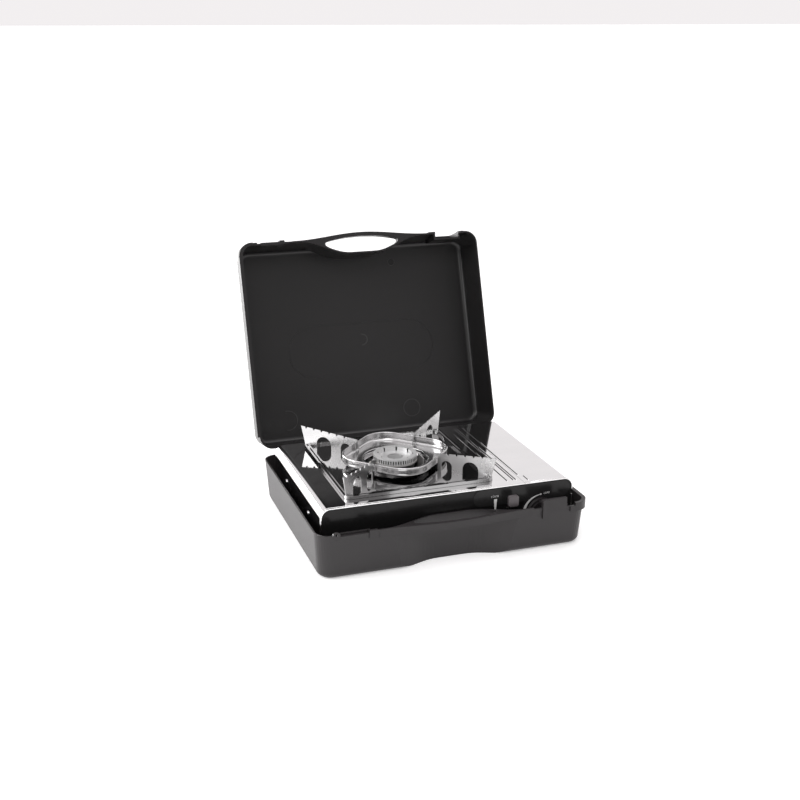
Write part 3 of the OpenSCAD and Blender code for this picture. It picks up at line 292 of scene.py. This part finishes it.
# making pieces: each ends in keep(), which recalculates its normals and hangs it on its body
def keep(bm, name, finish, body, smooth=True):
    bmesh.ops.remove_doubles(bm, verts=bm.verts, dist=1e-6)
    bmesh.ops.recalc_face_normals(bm, faces=bm.faces)
    mesh = bpy.data.meshes.new(name)
    bm.to_mesh(mesh)
    bm.free()
    for face in mesh.polygons:
        face.use_smooth = smooth
    piece = bpy.data.objects.new(name, mesh)
    bpy.context.scene.collection.objects.link(piece)
    mesh.materials.append(finishes[finish])
    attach(piece, body)
    return piece


def tube(bm, path, radius, sides):
    askew = Vector((0.31, 0.23, 0.92))  # along none of the paths
    rings = []
    for i, point in enumerate(path):
        before, after = path[max(i - 1, 0)], path[min(i + 1, len(path) - 1)]
        along = (after - before).normalized()
        side = along.cross(askew).normalized()
        turn = Matrix((side, along.cross(side), along)).transposed().to_4x4()
        turn.translation = point
        ring = bmesh.ops.create_circle(bm, cap_ends=False, radius=radius, segments=sides, matrix=turn)["verts"]
        rings.append({edge for vert in ring for edge in vert.link_edges})
    for ring, following in zip(rings, rings[1:]):
        bmesh.ops.bridge_loops(bm, edges=list(ring | following))
    bmesh.ops.holes_fill(bm, edges=[edge for edge in bm.edges if edge.is_boundary], sides=0)


# sizes in millimetres, as in the frame
shell = {"halfWidth": 178.0, "front": -129.2, "foot": 6.8, "top": 88.8, "shoulder": 13.0, "lidEdge": 107.5,
         "skirt": 72.6, "bezel": -129.0}
burner = {"x": -33.75, "y": 0.8, "rim": 108.8, "ledge": 95.8, "apothem": 64.0, "corner": 36.0, "hole": 46.0,
          "sheet": 0.8}


def arc(first, last, step):
    return [radians(degrees) for degrees in range(first, last + 1, step)]


def shoulderPath(inset, side, y):
    w, r, z = shell["halfWidth"] - inset, shell["shoulder"] - inset, shell["top"] - inset
    return [Vector((side * (w - r + r * cos(a)), y, z - r + r * sin(a))) * mm for a in arc(0, 90, 9)]


def windshield():
    values = {"foot": 4.5, "innerFoot": 3.6, "wallTop": (5.0, 3.2), "rollAt": (0.45, 1.3), "rollSize": (1.05, 1.25),
              "lip": [(0.35, 0.5), (0.4, 1.6), (0.0, 3.4)], "floorIn": 3.0, "collar": 90.15,
              "collarTurn": [(1.2, 0.0), (0.3, 0.2), (0.0, 0.9)], "underside": [(0.0, 0.1), (0.2, 0.0)],
              "longest": 10, "cuts": 8, "cornerSteps": 18}
    rim, ledge, sheet, hole = burner["rim"], burner["ledge"], burner["sheet"], burner["hole"]
    foot, innerFoot = values["foot"], values["innerFoot"]
    rollIn, rollDown = values["rollAt"]
    rollWide, rollHigh = values["rollSize"]
    # steps of the section: inset from the outline or radius, and height, from the outer foot over the rolled
    # rim to the floor, down the collar and back to the foot
    steps = [("inset", foot * (1 - sin(a)), ledge + foot * (1 - cos(a))) for a in arc(0, 90, 15)]
    steps += [("inset", 0.0, rim - down) for down in values["wallTop"]]
    steps += [("inset", rollIn - rollWide * sin(a), rim - rollDown - rollHigh * cos(a)) for a in arc(45, 180, 15)]
    steps += [("inset", sheet + across, rim - down) for across, down in values["lip"]]
    steps += [("inset", sheet + innerFoot * (1 - cos(a)), ledge + sheet + innerFoot * (1 - sin(a)))
              for a in arc(0, 90, 15)]
    steps += [("inset", foot + values["floorIn"], ledge + sheet)]
    steps += [("round", hole + out, ledge + sheet - down) for out, down in values["collarTurn"]]
    steps += [("round", hole, values["collar"]), ("round", hole + sheet, values["collar"])]
    steps += [("round", hole + sheet + out, ledge - down) for out, down in values["underside"]]
    steps += [("inset", foot + values["floorIn"], ledge)]
    bm = bmesh.new()
    corners = bmesh.ops.create_circle(bm, cap_ends=True, radius=burner["apothem"] * sqrt(2) * mm, segments=4)["verts"]
    bmesh.ops.bevel(bm, geom=corners, offset=burner["corner"] * mm, segments=values["cornerSteps"], profile=0.5,
                    affect="VERTICES", material=-1)
    bmesh.ops.delete(bm, geom=bm.faces[:], context="FACES_ONLY")
    straight = [e for e in bm.edges if e.calc_length() > values["longest"] * mm]
    bmesh.ops.subdivide_edges(bm, edges=straight, cuts=values["cuts"])
    place = bm.verts.layers.int.new("place")
    outline = []
    for number, v in enumerate(bm.verts):
        one, other = [e.other_vert(v).co for e in v.link_edges]
        outward = (one - other).cross(Vector((0, 0, 1))).normalized()
        outline.append((v.co.copy(), outward if outward.dot(v.co) > 0 else -outward))
        v[place] = number
    edges = list(bm.edges)
    for number, (kind, size, z) in enumerate(steps):
        if number:
            grown = bmesh.ops.extrude_edge_only(bm, edges=edges)["geom"]
            edges = [g for g in grown if isinstance(g, bmesh.types.BMEdge)]
        for v in {v for e in edges for v in e.verts}:
            at, outward = outline[v[place]]
            flat = at - outward * size * mm if kind == "inset" else at.normalized() * size * mm
            v.co = Vector((flat.x, flat.y, z * mm))
    bmesh.ops.bridge_loops(bm, edges=edges + [e for e in bm.edges if e.is_boundary and e not in edges])
    bmesh.ops.translate(bm, verts=bm.verts, vec=Vector((burner["x"], burner["y"], 0)) * mm)
    piece = keep(bm, "windshield", "shieldSteel", "pan support")
    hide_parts("windshield_bowl")


# two beads across the front of the shell, each in two pieces that part at the cartridge lid's edge
def shellTrim():
    values = {"beadRadius": 0.6, "behind": 4.2, "drop": 0.25, "lidGap": 1.2, "footGap": 2, "skirtGap": 1,
              "up": (30, 60), "across": (-120, -60, 0, 60), "onLid": 140, "sides": 10}
    inset = values["drop"]
    side, top = shell["halfWidth"] - inset, shell["top"] - inset
    for number, y in enumerate((shell["front"] + values["beadRadius"], shell["front"] + values["behind"])):
        left = [Vector((-side, y, z)) * mm for z in (shell["foot"] + values["footGap"], *values["up"])]
        left += shoulderPath(inset, -1, y)
        left += [Vector((x, y, top)) * mm for x in (*values["across"], shell["lidEdge"] - values["lidGap"])]
        right = [Vector((x, y, top)) * mm for x in (shell["lidEdge"] + values["lidGap"], values["onLid"])]
        right += list(reversed(shoulderPath(inset, 1, y)))
        right += [Vector((side, y, shell["skirt"] + values["skirtGap"])) * mm]
        for label, path, body in (("shell", left, "stove"), ("lid", right, "cartridge lid")):
            bm = bmesh.new()
            tube(bm, path, values["beadRadius"] * mm, values["sides"])
            keep(bm, "%sBead%d" % (label, number + 1), "mirrorSteel", body)


# what is printed on the panel: a layer this thick, standing on the bezel's face
printed = 0.06
printFront = shell["bezel"] - printed


def printLayer(bm, name, thicken=True):
    if thicken:
        bmesh.ops.solidify(bm, geom=bm.faces[:], thickness=printed * mm)
    keep(bm, name, "printWhite", "stove", False)


def standUp(bm, x, z):
    bmesh.ops.rotate(bm, verts=bm.verts, cent=(0, 0, 0), matrix=Matrix.Rotation(radians(90), 3, "X"))
    bmesh.ops.translate(bm, verts=bm.verts, vec=Vector((x, printFront, z)) * mm)


# the arc round the knob, which narrows from the high flame to the low one
def flameArc():
    values = {"knob": (132.5, 43.6), "radius": 26.4, "from": 166, "to": 94, "thick": 4.2, "thin": 0.7, "steps": 24}
    bm = bmesh.new()
    bmesh.ops.create_grid(bm, x_segments=values["steps"], y_segments=1, size=0.5)
    for v in bm.verts:
        share, across = v.co.x + 0.5, v.co.y
        angle = radians(values["from"] + (values["to"] - values["from"]) * share)
        width = values["thick"] + (values["thin"] - values["thick"]) * share
        reach = values["radius"] + across * width
        x, z = values["knob"][0] + reach * cos(angle), values["knob"][1] + reach * sin(angle)
        v.co = Vector((x, printFront, z)) * mm
    bm.normal_update()
    printLayer(bm, "flameArc")


def flameDot():
    values = {"at": (130.8, 70.1), "radius": 1.2, "sides": 24}
    bm = bmesh.new()
    bmesh.ops.create_circle(bm, cap_ends=True, radius=values["radius"] * mm, segments=values["sides"])
    standUp(bm, *values["at"])
    printLayer(bm, "flameDot")


def leverWedge():
    values = {"x": 64.1, "high": 71.8, "low": 53.0, "wide": 2.3, "narrow": 0.9, "rounding": 0.4}
    x, high, low, wide, narrow = (values[key] for key in ("x", "high", "low", "wide", "narrow"))
    bm = bmesh.new()
    corners = ((x - wide, high), (x + wide, high), (x + narrow, low), (x - narrow, low))
    bm.faces.new([bm.verts.new(Vector((cornerX, printFront, z)) * mm) for cornerX, z in corners])
    bmesh.ops.bevel(bm, geom=bm.verts[:], offset=values["rounding"] * mm, segments=3, profile=0.5,
                    affect="VERTICES", material=-1)
    printLayer(bm, "leverWedge")


def panelWord(name, text, x, z, size):
    values = {"thickness": 0.03, "spacing": 1.3}
    letters = bpy.data.curves.new(name, "FONT")
    letters.body, letters.size = text, size * mm
    letters.extrude, letters.space_character = values["thickness"] * mm, values["spacing"]
    writer = bpy.data.objects.new(name, letters)
    bpy.context.scene.collection.objects.link(writer)
    bpy.context.view_layer.update()
    bm = bmesh.new()
    bm.from_mesh(writer.evaluated_get(bpy.context.evaluated_depsgraph_get()).to_mesh())
    bpy.data.objects.remove(writer)
    standUp(bm, x, z)
    printLayer(bm, name, thicken=False)


windshield()
shellTrim()
flameArc()
flameDot()
leverWedge()
panelWord("offWord", "OFF", x=135.2, z=69.6, size=4.4)
panelWord("lockWord", "LOCK", x=57.6, z=74.6, size=3.6)
print("pieces made")


# camera, floor and light
def camera():
    values = {"azimuth": -19.021, "elevation": 18.081, "roll": 0.101, "distance": 1649.94,
              "target": (-26.982, 0.0, 181.101), "focal": 1191.793, "pixels": 800, "sensor": 36, "far": 200}
    a, e = radians(values["azimuth"]), radians(values["elevation"])
    back = Vector((sin(a) * cos(e), -cos(a) * cos(e), sin(e)))
    right = Vector((cos(a), sin(a), 0))
    up = back.cross(right)
    roll = Matrix.Rotation(radians(values["roll"]), 3, back)
    eye = bpy.data.cameras.new("camera")
    eye.lens, eye.sensor_width = values["focal"] / values["pixels"] * values["sensor"], values["sensor"]
    eye.clip_end = values["far"]
    holder = bpy.data.objects.new("camera", eye)
    bpy.context.scene.collection.objects.link(holder)
    place = (roll @ Matrix((right, up, back)).transposed()).to_4x4()
    place.translation = (Vector(values["target"]) + back * values["distance"]) * mm
    holder.matrix_world = place
    bpy.context.scene.camera = holder


def floor():
    values = {"size": 60, "dark": 0.86, "light": 0.90, "rough": 0.7, "glow": (0.97, 1.0), "glowStrength": 0.35}
    bm = bmesh.new()
    bmesh.ops.create_grid(bm, x_segments=1, y_segments=1, size=values["size"])
    mesh = bpy.data.meshes.new("floor")
    bm.to_mesh(mesh)
    bm.free()
    f = Finish("floor")
    mottle = f.noise(scale=3, detail=2.0)
    glow = f.blend(mottle, grey(values["glow"][0]), grey(values["glow"][1]))
    mesh.materials.append(f.set(Base_Color=f.blend(mottle, grey(values["dark"]), grey(values["light"])),
                                Roughness=values["rough"], Emission_Color=glow,
                                Emission_Strength=values["glowStrength"]))
    ground = bpy.data.objects.new("floor", mesh)
    bpy.context.scene.collection.objects.link(ground)


def softboxes():
    boxes = {
        "key": {"at": (-0.9, -1.6, 1.9), "aim": (0, 0, 0.08), "size": (1.4, 1.0), "power": 14},
        "left": {"at": (-1.9, 0.3, 0.7), "aim": (0, 0, 0.1), "size": (1.2, 1.6), "power": 26},
        "edge": {"at": (-1.5, 1.9, 0.35), "aim": (-0.18, 0.1, 0.12), "size": (1.4, 0.6), "power": 45},
        "strip": {"at": (0.56, -1.6, 0.8), "aim": (0, 0.2, 0.2), "size": (0.25, 0.9), "power": 0.6},
        "top": {"at": (0.3, 0.2, 2.4), "aim": (0, 0, 0), "size": (1.6, 1.6), "power": 12},
    }
    for name, box in boxes.items():
        lamp = bpy.data.lights.new(name, "AREA")
        lamp.shape, lamp.energy = "RECTANGLE", box["power"]
        lamp.size, lamp.size_y = box["size"]
        holder = bpy.data.objects.new(name, lamp)
        bpy.context.scene.collection.objects.link(holder)
        holder.location = box["at"]
        holder.rotation_euler = (Vector(box["aim"]) - Vector(box["at"])).to_track_quat("-Z", "Y").to_euler()


# light all round, dimmer from the side that the camera looks from
def surroundings():
    values = {"dimTo": -0.92, "brightFrom": -0.35, "dim": (0.27, 0.26, 0.263, 1),
              "bright": (0.94, 0.912, 0.919, 1), "strength": 0.95}
    world = bpy.data.worlds.new("studio")
    world.use_nodes = True
    tree = world.node_tree
    around, split = tree.nodes.new("ShaderNodeTexCoord"), tree.nodes.new("ShaderNodeSeparateXYZ")
    reach, shade = tree.nodes.new("ShaderNodeMapRange"), tree.nodes.new("ShaderNodeMix")
    reach.interpolation_type, shade.data_type = "SMOOTHSTEP", "RGBA"
    reach.inputs["From Min"].default_value = values["dimTo"]
    reach.inputs["From Max"].default_value = values["brightFrom"]
    shade.inputs[6].default_value, shade.inputs[7].default_value = values["dim"], values["bright"]
    tree.links.new(around.outputs["Generated"], split.inputs[0])
    tree.links.new(split.outputs[1], reach.inputs[0])
    tree.links.new(reach.outputs[0], shade.inputs[0])
    tree.links.new(shade.outputs[2], tree.nodes["Background"].inputs[0])
    tree.nodes["Background"].inputs[1].default_value = values["strength"]
    bpy.context.scene.world = world
    bpy.context.scene.view_settings.view_transform = "Standard"


camera()
floor()
softboxes()
surroundings()
print("camera, floor and lights set")
